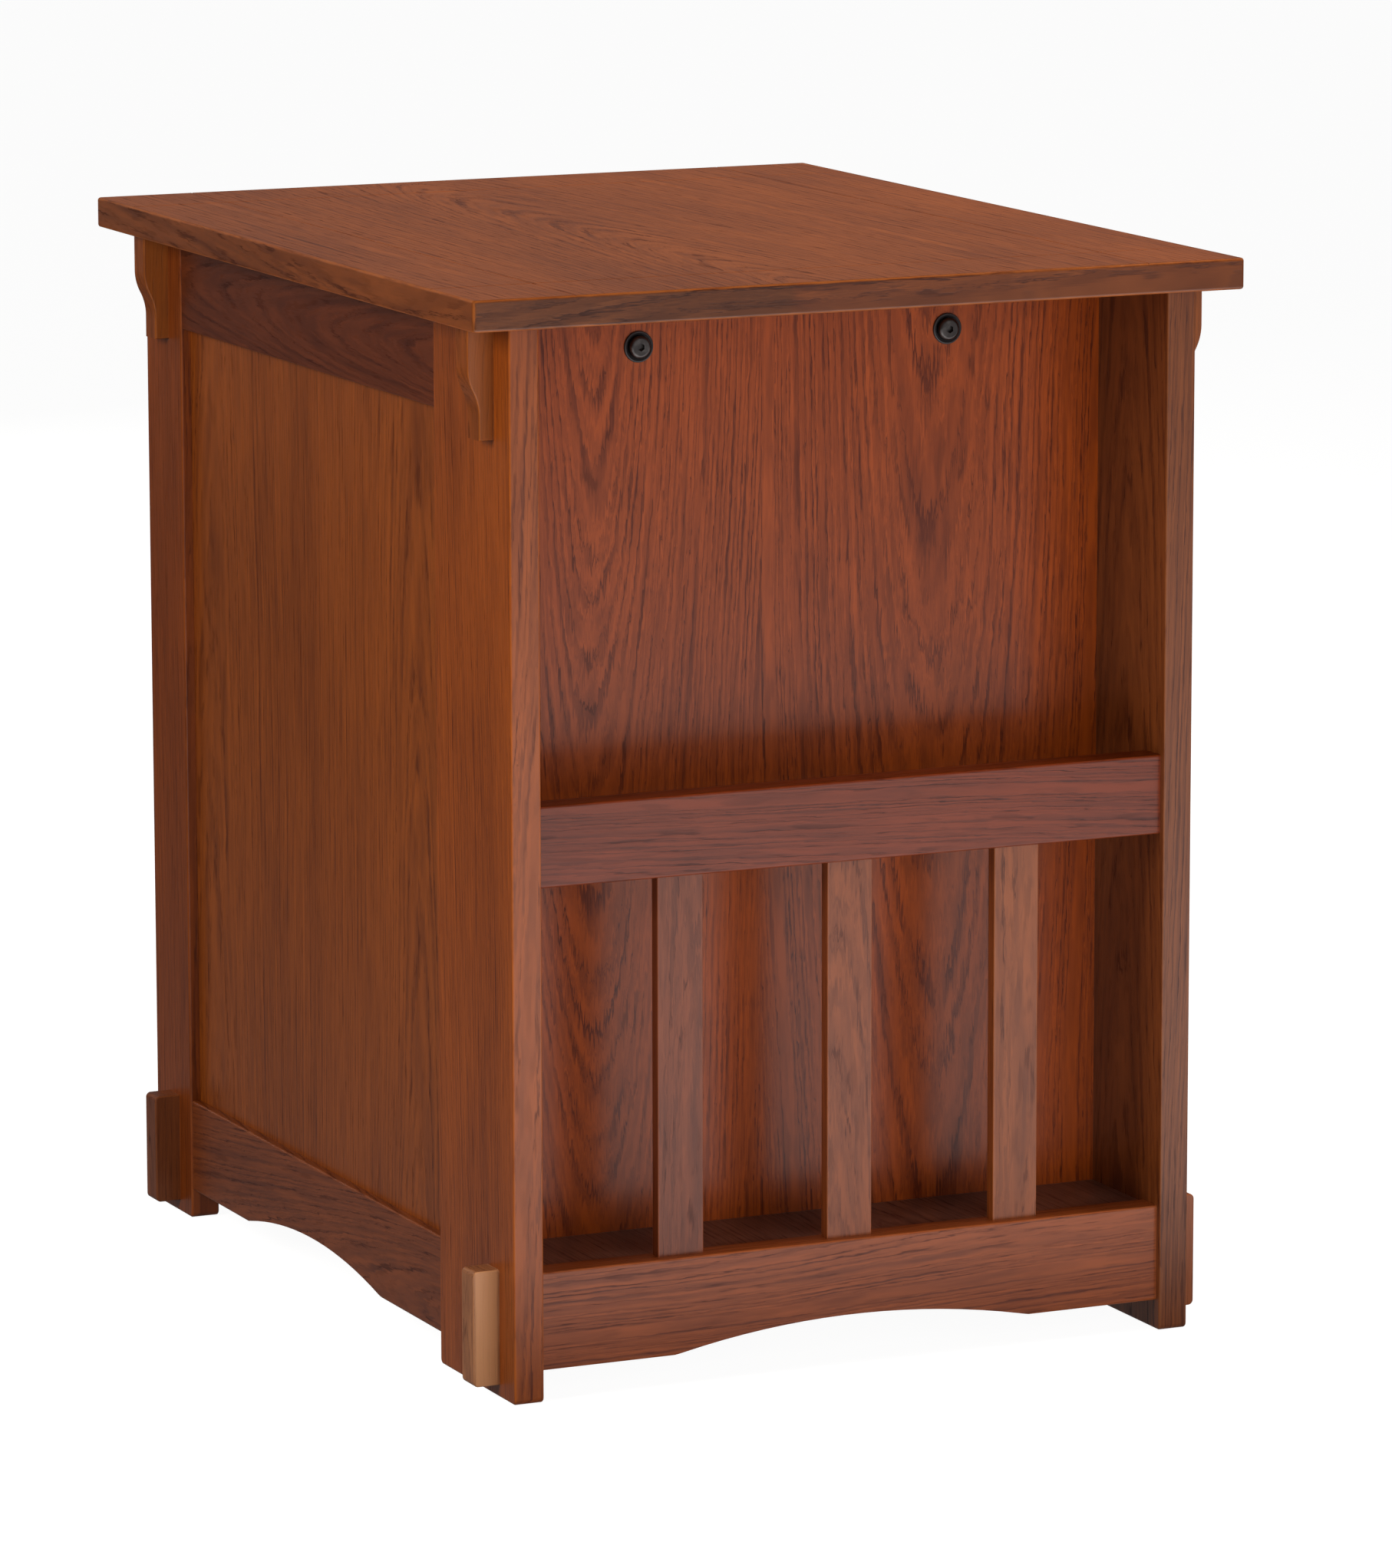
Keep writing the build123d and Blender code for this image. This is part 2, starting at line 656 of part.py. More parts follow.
def knob_screw(centre):
    """Pan-head screw from the inside of a front into its knob."""
    x, _, z = centre
    head = rod((x, front_back_y, z), "y", knob_screw_head / 2, -knob_screw_head_height)
    head = fillet(head.edges().group_by(Axis.Y)[0], knob_screw_head_round)
    return head + rod((x, front_back_y, z), "y", knob_screw_diameter / 2, front_thick + knob_screw_in_knob)


# ---- door ------------------------------------------------------------------------------------------------
def door_panel_y():
    """Outer and inner faces of the door's panel."""
    return (face_y[FRONT] - door_panel_recess, face_y[FRONT] - door_panel_recess - panel_thick)


def door_groove(piece):
    """Cut the groove that runs round the inside of the door's frame."""
    outer, inner = door_panel_y()
    half = door_x - door_stile_width + groove_depth
    z_pair = (door_bottom + door_rail_height - groove_depth, door_top - door_rail_height + groove_depth)
    return piece - block((-half, half), (outer + groove_clear, inner - groove_clear), z_pair)


def door_stile(side):
    """Upright of the door's frame."""
    stile = block((side * door_x, side * (door_x - door_stile_width)), (front_back_y, face_y[FRONT]),
                  (door_bottom, door_top))
    stile = ease_along(stile, Axis.Z)
    stile = door_groove(stile)
    if side == LEFT:
        return hinge_mortise(stile, (-door_x, -door_x + hinge_leaf_thick))
    return stile - screw_hole(door_knob_centre())


def door_rail(low):
    """Cross piece of the door's frame."""
    half = door_x - door_stile_width
    rail = block((-half, half), (front_back_y, face_y[FRONT]), (low, low + door_rail_height))
    return door_groove(ease_along(rail, Axis.X))


def door_panel():
    """Flat panel in the door's frame."""
    reach = groove_depth - tongue_short
    half = door_x - door_stile_width + reach
    z_pair = (door_bottom + door_rail_height - reach, door_top - door_rail_height + reach)
    return block((-half, half), door_panel_y(), z_pair)


def knuckles(start, moving):
    """Barrel pieces of one hinge: the middle one turns with the door."""
    step = knuckle_length + hinge_knuckle_gap
    lows = [start + step] if moving else [start, start + 2 * step]
    return [rod((-hinge_x, hinge_y, low), "z", hinge_barrel_radius, knuckle_length) for low in lows], lows


def hinge_leaves(moving):
    """Leaves of both hinges that are screwed to the door, or to the leg."""
    leaves = []
    for start in hinge_starts:
        barrels, lows = knuckles(start, moving)
        near = -door_x if moving else -side_in
        far = near + hinge_leaf_thick if moving else near - hinge_leaf_thick
        leaf_y = face_y[FRONT] if moving else hinge_y - hinge_barrel_radius - hinge_barrel_clear
        leaf = block((near, far), (hinge_y - hinge_leaf_width, leaf_y), (start, start + hinge_length))
        for barrel, low in zip(barrels, lows):
            leaf += block((near, far), (leaf_y, hinge_y), (low, low + knuckle_length)) + barrel
        bore = hinge_pin_radius + hinge_bore_clear
        leaves.append(leaf - rod((-hinge_x, hinge_y, start), "z", bore, hinge_length))
    return Compound(leaves)


def hinge_pins():
    """Pins with a small cap at each end."""
    pins = []
    for start in hinge_starts:
        pin = rod((-hinge_x, hinge_y, start), "z", hinge_pin_radius, hinge_length)
        pin += rod((-hinge_x, hinge_y, start), "z", hinge_pin_cap_radius, -hinge_pin_cap)
        pin += rod((-hinge_x, hinge_y, start + hinge_length), "z", hinge_pin_cap_radius, hinge_pin_cap)
        pins.append(pin)
    return Compound(pins)


def catch_x():
    """Middle of the magnetic catch."""
    return side_in - catch_from_side - catch_width / 2


def magnetic_catch():
    """Catch under the front middle rail, just behind the door."""
    near = front_back_y - strike_thick - catch_gap
    half = catch_width / 2
    body = block((catch_x() - half, catch_x() + half), (near - catch_depth, near),
                 (door_opening_top - catch_height, door_opening_top))
    return fillet(body.edges().filter_by(Axis.Z), catch_round)


def strike_plate():
    """Steel plate on the door that the catch holds."""
    half = strike_width / 2
    mid = door_opening_top - catch_height / 2
    return block((catch_x() - half, catch_x() + half), (front_back_y, front_back_y - strike_thick),
                 (mid - strike_height / 2, door_top - strike_from_top))


# ---- shelf and dowels ------------------------------------------------------------------------------------
def shelf():
    """Loose shelf on four pins."""
    half = side_in - shelf_side_gap
    board = block((-half, half), (back_inner_y + shelf_side_gap, front_back_y - shelf_front_gap),
                  (shelf_height, shelf_height + shelf_thick))
    return fillet(board.edges().filter_by(Axis.X).group_by(Axis.Y)[-1], edge_ease)


def shelf_pins():
    """Steel pins in the legs' inner faces."""
    pins = []
    for side, _ in SIDES:
        for y in shelf_pin_y:
            start = (side * (side_in + shelf_pin_in), y, shelf_pin_z)
            pins.append(rod(start, "x", shelf_pin_diameter / 2, -side * (shelf_pin_in + shelf_pin_out)))
    return Compound(pins)


def dowels():
    """Beech dowels between the cross rails and the legs."""
    pegs = []
    for end, _ in ENDS:
        for side, _ in SIDES:
            for y, z in dowel_spots(end):
                start = (side * (side_in + dowel_in_leg), y, z)
                pegs.append(rod(start, "x", dowel_diameter / 2, -side * (dowel_in_leg + dowel_in_rail)))
    return Compound(pegs)


# ---- all the pieces --------------------------------------------------------------------------------------
def all_pieces():
    """Every piece by its name."""
    pieces = {"top_board": top_board(), "back_panel": back_panel(), "back_stretcher": back_stretcher(),
              "bottom_board": bottom_board(), "bottom_cleats": bottom_cleats(), "shelf": shelf(),
              "shelf_pins": shelf_pins(), "dowels": dowels(), "top_screws": top_screws(),
              "bolt_cups": bolt_cups(), "back_bolts": back_bolts()}
    for side, side_name in SIDES:
        pieces[f"{side_name}_upper_rail"] = side_rail(side, upper_rail_bottom, top_under, False)
        pieces[f"{side_name}_lower_rail"] = side_rail(side, lower_rail_clear, lower_rail_top, True)
        pieces[f"{side_name}_side_panel"] = side_panel(side)
        for end, end_name in ENDS:
            pieces[f"{side_name}_{end_name}_leg"] = leg(side, end)
            pieces[f"{side_name}_{end_name}_corbel"] = corbel(side, end)
            pieces[f"{side_name}_{end_name}_foot_block"] = foot_block(side, end)
    pieces["rack_upper_rail"] = cross_rail(RACK, rack_upper_rail_bottom, rack_upper_rail_top, False)
    pieces["rack_lower_rail"] = cross_rail(RACK, lower_rail_clear, lower_rail_top, True)
    for number, x in enumerate(slat_centres, 1):
        pieces[f"rack_slat_{number}"] = rack_slat(x)
    pieces["front_top_rail"] = front_rail(drawer_opening_top)
    pieces["front_middle_rail"] = front_rail(door_opening_top)
    pieces["front_lower_rail"] = cross_rail(FRONT, lower_rail_clear, lower_rail_top, True)
    pieces["drawer_runners"] = drawer_runners()
    pieces["drawer_kickers"] = drawer_kickers()
    pieces["drawer_front"] = drawer_front()
    pieces["drawer_left_side"] = drawer_side(LEFT)
    pieces["drawer_right_side"] = drawer_side(RIGHT)
    pieces["drawer_back"] = drawer_back()
    pieces["drawer_bottom"] = drawer_bottom()
    pieces["drawer_stop"] = drawer_stop()
    pieces["drawer_knob"] = knob(drawer_knob_centre())
    pieces["drawer_knob_screw"] = knob_screw(drawer_knob_centre())
    pieces["door_hinge_stile"] = door_stile(LEFT)
    pieces["door_free_stile"] = door_stile(RIGHT)
    pieces["door_bottom_rail"] = door_rail(door_bottom)
    pieces["door_top_rail"] = door_rail(door_top - door_rail_height)
    pieces["door_panel"] = door_panel()
    pieces["door_knob"] = knob(door_knob_centre())
    pieces["door_knob_screw"] = knob_screw(door_knob_centre())
    pieces["hinge_case_leaves"] = hinge_leaves(False)
    pieces["hinge_door_leaves"] = hinge_leaves(True)
    pieces["hinge_pins"] = hinge_pins()
    pieces["magnetic_catch"] = magnetic_catch()
    pieces["strike_plate"] = strike_plate()
    return pieces


os.makedirs("parts", exist_ok=True)
for name, piece in all_pieces().items():
    export_step(piece, f"parts/{name}.step")
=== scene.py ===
"""Mission oak side cabinet: a scored top, panelled sides, a slatted book rack, a drawer and a door."""
import math

import bpy
from mathutils import Matrix, Vector


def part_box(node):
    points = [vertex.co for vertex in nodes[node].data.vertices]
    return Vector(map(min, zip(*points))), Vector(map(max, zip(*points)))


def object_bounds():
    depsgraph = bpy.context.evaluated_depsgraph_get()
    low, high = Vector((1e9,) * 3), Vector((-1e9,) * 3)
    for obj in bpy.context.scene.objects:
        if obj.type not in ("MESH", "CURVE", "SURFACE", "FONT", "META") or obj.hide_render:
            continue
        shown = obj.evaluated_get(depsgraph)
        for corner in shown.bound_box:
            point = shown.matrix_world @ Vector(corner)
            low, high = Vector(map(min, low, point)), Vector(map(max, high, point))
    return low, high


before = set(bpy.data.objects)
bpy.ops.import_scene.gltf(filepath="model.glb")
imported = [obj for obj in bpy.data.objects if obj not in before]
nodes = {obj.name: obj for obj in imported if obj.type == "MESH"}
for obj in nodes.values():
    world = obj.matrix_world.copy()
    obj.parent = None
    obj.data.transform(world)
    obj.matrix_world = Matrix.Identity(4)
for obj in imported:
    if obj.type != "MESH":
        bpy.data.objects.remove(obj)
cad_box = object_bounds()

# ---- top board -----------------------------------------------------------------------------------------
# A flat glued-up oak slab with its grain running from the rack end to the front, lipped along both ends with
# strips whose grain runs across. Stained brown, then sprayed with satin lacquer. A line is scored 60 mm in
# from each edge. It stands out over the sides and is screwed down from inside.
MM = 0.001
AXES = {"x": 0, "y": 1, "z": 2}
STAIN_LIGHT = (1.25, 1.30, 1.22)       # how the stain's depth changes a board's mean colour
STAIN_DARK = (0.36, 0.29, 0.38)
STAIN_PORE = (0.30, 0.24, 0.34)
RUBBED_AND_HIGHLIGHT = (1.45, 1.75, 2.10)            # where sanding has cut through the stain at an arris, plus a painted highlight along it
SANDED_AND_LIT = (2.1, 2.7, 3.1)               # a whole face sanded nearly through its stain, with painted light on it too
EDGE_STAIN = (0.6, 0.62, 0.8)          # the edges of the top have drunk in more stain
SPLICE_STAIN = (0.46, 0.53, 0.86)      # a greyer length of the end strips, up to a butt joint
SPLICE_AT, SPLICE_BLEND = -44, 3       # that joint, from the middle of the top, and how soft it is, in mm
LIPPING_BLEND = 0.1                    # how soft the lipping's joint is, in mm
LIPPED_EDGE = (0.4, 1.6)               # where the top's face turns into its stained edge, in mm
LACQUER_ROUGHNESS = 0.24
LACQUER_IOR = 1.5

TRUNK_BEND = (260, 260, 380)           # sizes in mm across, through and along a board: the tree's bends,
RING_SWELL = (60, 60, 170)             # the bulges of its rings,
RING_TEAR = (1.3, 1.3, 16)             # the ragged line of one ring,
STRONG_PATCH = (24, 24, 210)           # the patches where the rings show strongly,
OPEN_PORE = (0.5, 9.0, 26.0)           # the open pores,
FIBRE = (0.7, 9.0, 60.0)               # the bundles of fibre,
STAIN_CLOUD = (60, 60, 240)            # the places where the stain has soaked in deeper,
RUB_AND_HIGHLIGHT_PATCH = (14, 14, 14)               # and the uneven rubbing and painted highlight of an arris
BEND_BY, SWELL_BY = 16, 4              # how far, in mm, the tree bends and its rings bulge
SEED_STEP = (1.7, 0.9, 2.3)            # moves each board to its own place in the tree
YEARS_ALIKE, YEARS_VARY = 3.1, 2.4     # rings that share their width, and how much widths differ, in rings
SEASONS = ((0.0, 1.0), (0.16, 0.75), (0.34, 0.15), (0.72, 0.0), (0.94, 0.25), (1.0, 1.0))
NOISE_SPAN = {"From Min": 0.3, "From Max": 0.7}   # the values that a noise nearly always stays between


def linear(code):
    """An sRGB hex colour as linear red, green, blue and alpha."""
    parts = [int(code[n:n + 2], 16) / 255 for n in (1, 3, 5)]
    return [c / 12.92 if c <= 0.04045 else ((c + 0.055) / 1.055) ** 2.4 for c in parts] + [1.0]


def add(tree, kind, inputs=None, **settings):
    """Add a node with its settings. An input is a value, or another node's output to link from."""
    node = tree.nodes.new("ShaderNode" + kind)
    for key, value in settings.items():
        setattr(node, key, value)
    for key, value in (inputs or {}).items():
        if isinstance(value, bpy.types.NodeSocket):
            tree.links.new(value, node.inputs[key])
        else:
            node.inputs[key].default_value = value
    return node


def new_finish(name):
    """A material with only its Principled shader, and that shader."""
    finish = bpy.data.materials.new(name)
    finish.use_nodes = True
    tree = finish.node_tree
    tree.nodes.clear()
    shader = add(tree, "BsdfPrincipled")
    add(tree, "OutputMaterial", {"Surface": shader.outputs[0]})
    return finish, tree, shader


def figure(tree, place, size, detail=2.0):
    """Noise from 0 to 1 whose grains measure this size in mm, across, through and along a board."""
    scale = tuple(1 / (length * MM) for length in size)
    sized = add(tree, "VectorMath", {0: place, 1: scale}, operation="MULTIPLY")
    noise = add(tree, "TexNoise", {"Vector": sized.outputs[0], "Scale": 1.0, "Detail": detail},
                normalize=True)
    return noise.outputs["Fac"]


def oak_grain(tree, local, along, across, heart, deep, lean, slope, ring, contrast, seed, second=None,
              ragged=1.7, pore=0.8):
    """Growth rings, pores and stain depth of one oak board. Returns its shade and its height.

    The rings are shells round the tree's heart, which runs beside the board: heart is its place across the
    board, deep how far it lies below the face, lean and slope how it strays along the board. Where lean is
    not zero the shells cut the face in the nested arches of flat-sawn oak. All are in millimetres, or in
    millimetres per metre. second gives (joint, heart, deep, lean) for a second board glued to the first.
    ragged is how far, in mm, a ring's line strays, and pore how dark the open pores are.
    """
    axes = [local.outputs[AXES[name]] for name in (across, along)]
    through = local.outputs[3 - AXES[across] - AXES[along]]
    shifted = add(tree, "CombineXYZ", {0: axes[0], 1: through, 2: axes[1]})
    moved = tuple(seed * step for step in SEED_STEP)
    place = add(tree, "VectorMath", {0: shifted.outputs[0], 1: moved}).outputs[0]
    width, length = axes

    values = [heart * MM, deep * MM, lean * MM]
    if second:
        joint, *others = second
        side = add(tree, "Math", {0: width, 1: joint * MM}, operation="GREATER_THAN").outputs[0]
        values = [add(tree, "MapRange", {"Value": side, "To Min": one, "To Max": other * MM}).outputs[0]
                  for one, other in zip(values, others)]
    heart_at, deep_at, lean_at = values

    wander = figure(tree, place, TRUNK_BEND, 1.0)
    drift = add(tree, "Math", {0: wander, 1: BEND_BY * MM, 2: -BEND_BY / 2 * MM},
                operation="MULTIPLY_ADD").outputs[0]
    from_heart = add(tree, "Math", {0: width, 1: heart_at}, operation="SUBTRACT").outputs[0]
    sloped = add(tree, "Math", {0: length, 1: slope * MM, 2: from_heart},
                 operation="MULTIPLY_ADD").outputs[0]
    sideways = add(tree, "Math", {0: sloped, 1: drift}).outputs[0]
    leaning = add(tree, "Math", {0: length, 1: lean_at, 2: deep_at}, operation="MULTIPLY_ADD").outputs[0]
    swell = figure(tree, place, RING_SWELL, 1.0)
    swollen = add(tree, "Math", {0: swell, 1: SWELL_BY * MM, 2: leaning},
                  operation="MULTIPLY_ADD").outputs[0]
    below = add(tree, "Math", {0: swollen, 1: through}, operation="SUBTRACT").outputs[0]
    flat = add(tree, "CombineXYZ", {0: sideways, 1: below}).outputs[0]
    radius = add(tree, "VectorMath", {0: flat}, operation="LENGTH").outputs["Value"]
    tear = figure(tree, place, RING_TEAR)
    torn = add(tree, "Math", {0: tear, 1: ragged * MM, 2: radius}, operation="MULTIPLY_ADD").outputs[0]
    years = add(tree, "TexNoise", {"W": torn, "Scale": 1 / (ring * YEARS_ALIKE * MM), "Detail": 1.0},
                noise_dimensions="1D").outputs["Fac"]
    grown = add(tree, "Math", {0: years, 1: ring * YEARS_VARY * MM, 2: torn},
                operation="MULTIPLY_ADD").outputs[0]
    turns = add(tree, "Math", {0: grown, 1: ring * MM}, operation="DIVIDE").outputs[0]
    season = add(tree, "Math", {0: turns}, operation="FRACT").outputs[0]
    year = add(tree, "Math", {0: turns}, operation="FLOOR").outputs[0]

    band = add(tree, "ValToRGB", {0: season})
    ramp = band.color_ramp
    ramp.interpolation = "EASE"
    for part, _ in SEASONS[1:-1]:
        ramp.elements.new(part)
    for stop, (_, value) in zip(ramp.elements, SEASONS):
        stop.color = (value, value, value, 1.0)
    each = add(tree, "TexWhiteNoise", {"W": year}, noise_dimensions="1D").outputs["Value"]
    strong = add(tree, "MapRange", {"Value": each, "To Min": 0.3, "To Max": 1.0}).outputs[0]
    patch = figure(tree, place, STRONG_PATCH)
    often = add(tree, "MapRange", {"Value": patch, "From Min": 0.3, "From Max": 0.68, "To Min": 0.35,
                                   "To Max": 1.1}).outputs[0]
    rings = add(tree, "Math", {0: band.outputs[0], 1: strong}, operation="MULTIPLY").outputs[0]
    rings = add(tree, "Math", {0: rings, 1: often}, operation="MULTIPLY").outputs[0]

    along_ring = add(tree, "CombineXYZ", {0: grown, 1: sideways, 2: length}).outputs[0]
    pits = figure(tree, along_ring, OPEN_PORE, 1.0)
    open_pores = add(tree, "MapRange", {"Value": pits, "From Min": 0.52, "From Max": 0.68},
                     interpolation_type="SMOOTHSTEP").outputs[0]
    crowd = add(tree, "Math", {0: band.outputs[0], 1: 0.75, 2: 0.25}, operation="MULTIPLY_ADD").outputs[0]
    pores = add(tree, "Math", {0: open_pores, 1: crowd}, operation="MULTIPLY").outputs[0]
    fibre = figure(tree, along_ring, FIBRE, 3.0)
    cloud = figure(tree, place, STAIN_CLOUD)

    soak = add(tree, "MapRange", {"Value": cloud, **NOISE_SPAN, "To Min": 0.0, "To Max": 0.34}).outputs[0]
    soak = add(tree, "Math", {0: rings, 1: contrast, 2: soak}, operation="MULTIPLY_ADD").outputs[0]
    grey = add(tree, "MapRange", {"Value": fibre, **NOISE_SPAN, "To Min": -0.26, "To Max": 0.36}).outputs[0]
    soak = add(tree, "Math", {0: soak, 1: grey}, use_clamp=True).outputs[0]
    shade = add(tree, "Mix", {0: soak, 6: (*STAIN_LIGHT, 1), 7: (*STAIN_DARK, 1)},
                data_type="RGBA").outputs[2]
    dark = add(tree, "Math", {0: pores, 1: pore}, operation="MULTIPLY").outputs[0]
    shade = add(tree, "Mix", {0: dark, 6: shade, 7: (*STAIN_PORE, 1)}, data_type="RGBA").outputs[2]
    height = add(tree, "Math", {0: rings, 1: 0.25, 2: pores}, operation="MULTIPLY_ADD").outputs[0]
    return shade, height


def stained_oak(node, tone, along, across, heart=0.0, deep=60.0, lean=0.0, slope=0.0, ring=2.6,
                contrast=0.8, seed=1.0, second=None, lipping=None, rub_and_highlight=0.6, joints=0.0, worn_and_lit_face=0.0,
                ragged=1.7, pore=0.8, sheen=0.35, coat=0.35):
    """Give a board its own stained and lacquered oak, with its arrises rubbed a little lighter and given a
    painted highlight.

    lipping is the width in mm of a strip across each end. rub is how far the arrises are rubbed through, and
    how strong their painted highlight is.
    joints darkens the stain caught where its ends meet other pieces, and paints the shade of the gap there.
    worn_and_lit_face is how far the stain has been sanded off its face towards the rack end, and how much
    painted light that face gets.
    sheen is its broad soft shine, and coat the clear reflection in its lacquer.
    """
    low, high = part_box(node)
    middle, half = (low + high) / 2, (high - low) / 2
    finish, tree, shader = new_finish("Stained oak " + node.replace("_", " "))
    coords = add(tree, "TexCoord")
    centred = add(tree, "VectorMath", {0: coords.outputs["Object"], 1: middle},
                  operation="SUBTRACT").outputs[0]
    local = add(tree, "SeparateXYZ", {0: centred})
    shade, height = oak_grain(tree, local, along, across, heart, deep, lean, slope, ring, contrast, seed,
                              second, ragged, pore)
    distance = add(tree, "VectorMath", {0: centred}, operation="ABSOLUTE").outputs[0]
    distance = add(tree, "VectorMath", {0: half, 1: distance}, operation="SUBTRACT").outputs[0]
    to_face = add(tree, "SeparateXYZ", {0: distance})
    if lipping:
        lip_shade, lip_height = oak_grain(tree, local, across, along, heart=0.0, deep=40.0, lean=30.0,
                                          slope=0.0, ring=2.6, contrast=0.95, seed=seed + 4)
        at_end = add(tree, "MapRange", {"Value": to_face.outputs[AXES[along]],
                                        "From Min": (lipping + LIPPING_BLEND) * MM,
                                        "From Max": (lipping - LIPPING_BLEND) * MM}).outputs[0]
        shade = add(tree, "Mix", {0: at_end, 6: shade, 7: lip_shade}, data_type="RGBA").outputs[2]
        height = add(tree, "Mix", {0: at_end, 2: height, 3: lip_height}).outputs[0]
        on_edge = add(tree, "MapRange", {"Value": to_face.outputs["Z"], "From Min": LIPPED_EDGE[0] * MM,
                                         "From Max": LIPPED_EDGE[1] * MM}).outputs[0]
        past = add(tree, "MapRange", {"Value": local.outputs[AXES[across]],
                                      "From Min": (SPLICE_AT - SPLICE_BLEND) * MM,
                                      "From Max": (SPLICE_AT + SPLICE_BLEND) * MM}).outputs[0]
        inside = add(tree, "Math", {0: 1.0, 1: at_end}, operation="SUBTRACT").outputs[0]
        past = add(tree, "Math", {0: past, 1: inside}, operation="MAXIMUM").outputs[0]
        strip_stain = add(tree, "Mix", {0: past, 6: (*SPLICE_STAIN, 1), 7: (*EDGE_STAIN, 1)},
                          data_type="RGBA").outputs[2]
        shade = add(tree, "Mix", {0: on_edge, 6: shade, 7: strip_stain}, data_type="RGBA",
                    blend_type="MULTIPLY").outputs[2]
    x, y, z = to_face.outputs
    nearest = add(tree, "Math", {0: x, 1: y}, operation="MINIMUM").outputs[0]
    farther = add(tree, "Math", {0: x, 1: y}, operation="MAXIMUM").outputs[0]
    either = add(tree, "Math", {0: farther, 1: z}, operation="MINIMUM").outputs[0]
    to_edge = add(tree, "Math", {0: nearest, 1: either}, operation="MAXIMUM").outputs[0]
    uneven = figure(tree, centred, RUB_AND_HIGHLIGHT_PATCH, 3.0)
    rubbed_and_highlit_to = add(tree, "MapRange", {"Value": uneven, **NOISE_SPAN, "To Min": 0.5 * MM,
                                       "To Max": 1.9 * MM}).outputs[0]
    share = add(tree, "Math", {0: to_edge, 1: rubbed_and_highlit_to}, operation="DIVIDE").outputs[0]
    worn_and_highlit = add(tree, "MapRange", {"Value": share, "From Min": 0.25, "From Max": 1.0, "To Min": rub_and_highlight,
                                  "To Max": 0.0}, interpolation_type="SMOOTHSTEP").outputs[0]
    # Arrises are lighter where the stain is rubbed through, and lighter still from a painted highlight along
    # them.
    shade = add(tree, "Mix", {0: worn_and_highlit, 6: shade, 7: (*RUBBED_AND_HIGHLIGHT, 1)}, data_type="RGBA").outputs[2]
    # The face towards the rack end is made lighter, partly by sanded-off stain and partly by painted light
    # on that face.
    if worn_and_lit_face:
        near = add(tree, "Math", {0: local.outputs["Y"], 1: half.y}).outputs[0]
        bare_and_lit = add(tree, "MapRange", {"Value": near, "From Min": 0.3 * MM, "From Max": 1.2 * MM,
                                      "To Min": worn_and_lit_face, "To Max": 0.0},
                   interpolation_type="SMOOTHSTEP").outputs[0]
        inner = add(tree, "MapRange", {"Value": x, "From Min": 0.5 * MM, "From Max": 1.8 * MM}).outputs[0]
        bare_and_lit = add(tree, "Math", {0: bare_and_lit, 1: inner}, operation="MULTIPLY").outputs[0]
        shade = add(tree, "Mix", {0: bare_and_lit, 6: shade, 7: (*SANDED_AND_LIT, 1)}, data_type="RGBA").outputs[2]
    # The ends are darker where they meet other pieces: stain caught in the joint, plus painted shade of the
    # gap between them.
    if joints:
        meets = add(tree, "MapRange", {"Value": to_face.outputs[AXES[along]], "From Min": 0.5 * MM,
                                       "From Max": 2.2 * MM, "To Min": joints, "To Max": 0.0}).outputs[0]
        shade = add(tree, "Mix", {0: meets, 6: shade, 7: (*STAIN_PORE, 1)}, data_type="RGBA").outputs[2]
    colour = add(tree, "Mix", {0: 1.0, 6: linear(tone), 7: shade}, data_type="RGBA", blend_type="MULTIPLY")
    rough = add(tree, "MapRange", {"Value": height, "To Min": 0.40, "To Max": 0.62}).outputs[0]
    bump = add(tree, "Bump", {"Strength": 0.55, "Distance": 0.12 * MM, "Height": height}, invert=True)
    tree.links.new(colour.outputs[2], shader.inputs["Base Color"])
    tree.links.new(rough, shader.inputs["Roughness"])
    tree.links.new(bump.outputs[0], shader.inputs["Normal"])
    shader.inputs["IOR"].default_value = LACQUER_IOR
    shader.inputs["Specular IOR Level"].default_value = sheen
    shader.inputs["Coat Weight"].default_value = coat
    shader.inputs["Coat Roughness"].default_value = LACQUER_ROUGHNESS
    nodes[node].data.materials.clear()
    nodes[node].data.materials.append(finish)


stained_oak("top_board", "#833f12", "y", "x", heart=-40, deep=52, lean=70, ring=3.6, contrast=0.55, seed=3.1,
            lipping=1.4, rub_and_highlight=0.7)

# ---- side frames ---------------------------------------------------------------------------------------
# Each side is a frame of two flat-sawn legs and two rails, dowelled and glued, round a thin flat panel that
# floats in a groove. The rack legs are wide and the front legs narrow. Grain runs up the legs and panels and
# along the rails.
# The left rack leg's lighter tone and the left front leg's darker tone are partly their own colour and
# partly painted light falling off from the rack end to the front.
stained_oak("left_rack_leg", "#813b0d", "z", "y", heart=130, deep=70, lean=40, ring=1.9,
            contrast=0.75, seed=5.3, pore=0.55)
stained_oak("right_rack_leg", "#6a3516", "z", "y", heart=-6, deep=70, lean=30, ring=3.0,
            contrast=0.75, seed=8.9)
stained_oak("left_front_leg", "#70310b", "z", "y", heart=110, deep=60, lean=14, ring=1.9,
            contrast=0.7, seed=12.7, pore=0.55)
stained_oak("right_front_leg", "#763612", "z", "y", heart=-30, deep=60, lean=14, ring=2.6, contrast=0.6,
            seed=17.2)
for side, seed in (("left", 21.4), ("right", 27.9)):
    stained_oak(side + "_side_panel", "#78380c", "z", "y", heart=-150, deep=60, lean=24, ring=2.3,
                contrast=0.62, seed=seed, second=(40, 160, 80, 14), pore=0.6)
    stained_oak(side + "_upper_rail", "#53220c", "y", "z", heart=4, deep=22, lean=60, ring=3.4,
                contrast=0.55, seed=seed + 3, joints=0.9, pore=0.3)
    stained_oak(side + "_lower_rail", "#6b3112", "y", "z", heart=-30, deep=40, lean=40, slope=60, ring=3.0,
                contrast=0.65, seed=seed + 6, joints=0.9)

